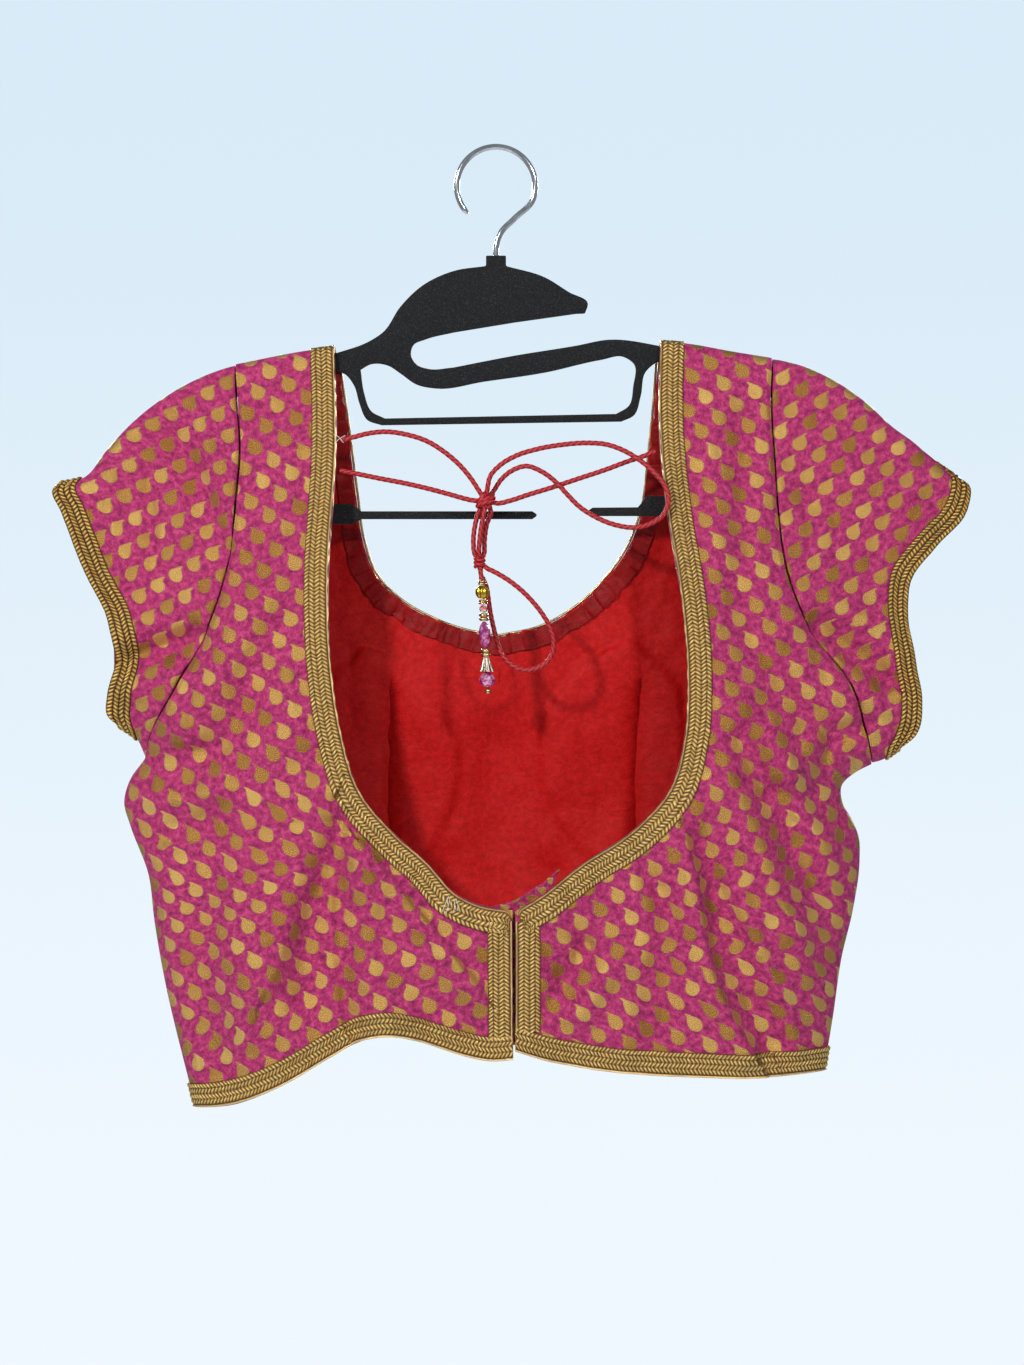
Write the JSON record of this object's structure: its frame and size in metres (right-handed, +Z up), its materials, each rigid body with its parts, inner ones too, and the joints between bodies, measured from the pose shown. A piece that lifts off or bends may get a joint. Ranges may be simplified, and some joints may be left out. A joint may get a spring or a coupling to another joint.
{
  "type": "choli blouse on a hanger",
  "caption": "Short brocade blouse with cap sleeves, deep back neck edged in gold braid, tie cords with a beaded tassel, hung on a flat black hanger.",
  "frame": {"origin": "inside of the hook's top, where a rod carries the hanger", "axes": "+X to the right seen from the open back of the blouse, -Y out of its back neck, +Y out of its front, +Z up"},
  "size_m": [0.5033, 0.0782, 0.5297],
  "materials": {
    "brocade": "magenta silk brocade with small gold drop motifs",
    "red_lining": "red crepe lining",
    "red_facing": "dark red puckered facing",
    "gold_braid": "plaited antique gold braid",
    "gold_piping": "thin gold piping",
    "steel_hooks": "plain steel hooks",
    "red_cord": "round red satin cord",
    "gold_metal": "gold coloured beads and rings",
    "pink_bead": "faceted pink and purple beads",
    "crystal": "small clear and red crystal",
    "black_flock": "black flocked plastic",
    "chrome_wire": "bright steel wire"
  },
  "bodies": {
    "root": {"back_left": "brocade", "back_right": "brocade", "front": "brocade", "sleeve_left": "brocade", "sleeve_right": "brocade", "placket_underlap": "brocade", "back_lining_left": "red_lining", "back_lining_right": "red_lining", "front_lining": "red_lining", "front_neck_facing": "red_facing", "neck_braid_left": "gold_braid", "neck_braid_right": "gold_braid", "placket_braid_left": "gold_braid", "placket_braid_right": "gold_braid", "hem_braid_left": "gold_braid", "hem_braid_right": "gold_braid", "hem_braid_front": "gold_braid", "cuff_braid_left": "gold_braid", "cuff_braid_right": "gold_braid", "front_neck_piping": "gold_piping", "hook_1": "steel_hooks", "hook_2": "steel_hooks", "hook_3": "steel_hooks", "tie_cord_left_upper": "red_cord", "tie_cord_left_lower": "red_cord", "tie_cord_right": "red_cord", "tie_cord_loop": "red_cord", "tie_cord_tail_1": "red_cord", "tie_cord_tail_2": "red_cord", "tie_cord_tail_3": "red_cord", "tie_cord_curl": "red_cord", "tie_cord_drop": "red_cord", "bow_knot": "red_cord", "lower_knot": "red_cord", "tassel_ring_1": "gold_metal", "tassel_ball": "gold_metal", "tassel_ring_2": "gold_metal", "tassel_crystal": "crystal", "tassel_ring_3": "gold_metal", "tassel_long_bead": "pink_bead", "tassel_ring_4": "gold_metal", "tassel_cap": "gold_metal", "tassel_drop_bead": "pink_bead", "tassel_tip": "gold_metal", "hanger_body": "black_flock", "hanger_hook": "chrome_wire"}
  },
  "joints": []
}
